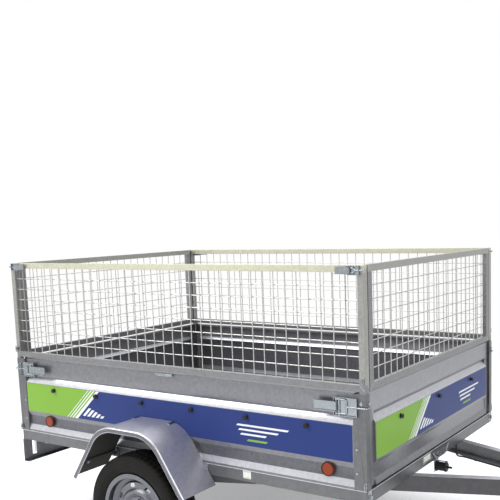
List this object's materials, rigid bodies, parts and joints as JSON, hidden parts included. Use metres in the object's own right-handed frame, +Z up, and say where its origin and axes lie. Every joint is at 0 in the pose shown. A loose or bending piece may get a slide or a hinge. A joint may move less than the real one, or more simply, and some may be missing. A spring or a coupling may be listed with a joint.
{
  "type": "single-axle utility trailer with mesh sides",
  "caption": "Galvanised single-axle box trailer with drop gates, mesh sides on top, mudguards, drawbar, coupling and jockey wheel.",
  "frame": {"origin": "on the ground below the centre of the bounding box", "axes": "+X forward along the drawbar, +Y to the trailer's left, +Z up"},
  "size_m": [3.009, 1.838, 1.365],
  "materials": {
    "galvanised": "hot-dip galvanised sheet, satin",
    "galvanised_frame": "hot-dip galvanised, dull",
    "galvanised_mesh": "welded wire, galvanised",
    "floor_board": "film-faced plywood, dark, half gloss",
    "zinc_fittings": "zinc plated, bright",
    "black_plastic": "moulded, matt",
    "silver_wheel": "silver lacquer",
    "tyre_rubber": "rubber, matt",
    "amber_reflector": "moulded prism reflector",
    "red_lens": "moulded lens",
    "tag_plate": "blank plate"
  },
  "bodies": {
    "trailer": {"axle_beam": "galvanised_frame", "body_latches": "zinc_fittings", "corner_posts": "galvanised", "coupling_handle": "black_plastic", "coupling_head": "zinc_fittings", "cross_members": "galvanised_frame", "drawbar_arms": "galvanised_frame", "drawbar_plates": "galvanised_frame", "floor_panel": "floor_board", "front_tag": "tag_plate", "jack_clamp": "zinc_fittings", "jack_crank": "zinc_fittings", "jack_outer_tube": "zinc_fittings", "mesh_latches": "zinc_fittings", "mudguard_stays": "galvanised", "mudguards": "galvanised", "nose_tube": "galvanised_frame", "parking_socket": "black_plastic", "rear_light_bar": "galvanised", "side_buttons": "black_plastic", "side_mesh": "galvanised_mesh", "side_panels": "galvanised", "side_rails": "galvanised_frame", "side_reflectors": "amber_reflector", "socket_bracket": "galvanised", "swing_arms": "galvanised_frame", "tail_lamp_bases": "black_plastic", "tail_lamp_lenses": "red_lens", "wiring_lead": "black_plastic"},
    "front_gate": {"front_gate": "galvanised", "front_gate_buttons": "black_plastic"},
    "rear_gate": {"rear_gate": "galvanised", "rear_gate_buttons": "black_plastic"},
    "front_mesh_gate": {"front_mesh_gate": "galvanised_mesh"},
    "rear_mesh_gate": {"rear_mesh_gate": "galvanised_mesh"},
    "wheel_right": {"tyre_right": "tyre_rubber", "rim_right": "silver_wheel", "hub_right": "zinc_fittings"},
    "wheel_left": {"tyre_left": "tyre_rubber", "rim_left": "silver_wheel", "hub_left": "zinc_fittings"},
    "jack_tube": {"jack_inner_tube": "zinc_fittings"},
    "jack_caster": {"jack_fork": "zinc_fittings"},
    "jockey_wheel": {"jack_wheel_rim": "zinc_fittings", "jack_wheel_tyre": "tyre_rubber"}
  },
  "joints": [
    {"name": "right_wheel_spin", "type": "hinge", "parent": "trailer", "child": "wheel_right", "pos_m": [-0.5025, -0.812, 0.267], "axis": [0, 1, 0], "continuous": true},
    {"name": "left_wheel_spin", "type": "hinge", "parent": "trailer", "child": "wheel_left", "pos_m": [-0.5025, 0.812, 0.267], "axis": [0, 1, 0], "continuous": true},
    {"name": "front_gate_hinge", "type": "hinge", "parent": "trailer", "child": "front_gate", "pos_m": [0.5715, 0, 0.515], "axis": [0, 1, 0], "range_deg": [0, 90]},
    {"name": "rear_gate_hinge", "type": "hinge", "parent": "trailer", "child": "rear_gate", "pos_m": [-1.4525, 0, 0.515], "axis": [0, -1, 0], "range_deg": [0, 90]},
    {"name": "front_mesh_hinge", "type": "hinge", "parent": "trailer", "child": "front_mesh_gate", "pos_m": [0.5675, 0, 0.925], "axis": [0, 1, 0], "range_deg": [0, 140]},
    {"name": "rear_mesh_hinge", "type": "hinge", "parent": "trailer", "child": "rear_mesh_gate", "pos_m": [-1.4485, 0, 0.925], "axis": [0, -1, 0], "range_deg": [0, 140]},
    {"name": "jack_height", "type": "slide", "parent": "trailer", "child": "jack_tube", "axis": [0, 0, 1], "range_m": [0, 0.095]},
    {"name": "jack_swivel", "type": "hinge", "parent": "jack_tube", "child": "jack_caster", "pos_m": [1.3045, -0.058, 0.2], "axis": [0, 0, 1], "continuous": true},
    {"name": "jockey_wheel_spin", "type": "hinge", "parent": "jack_caster", "child": "jockey_wheel", "pos_m": [1.2625, -0.058, 0.1], "axis": [0, 1, 0], "continuous": true}
  ]
}
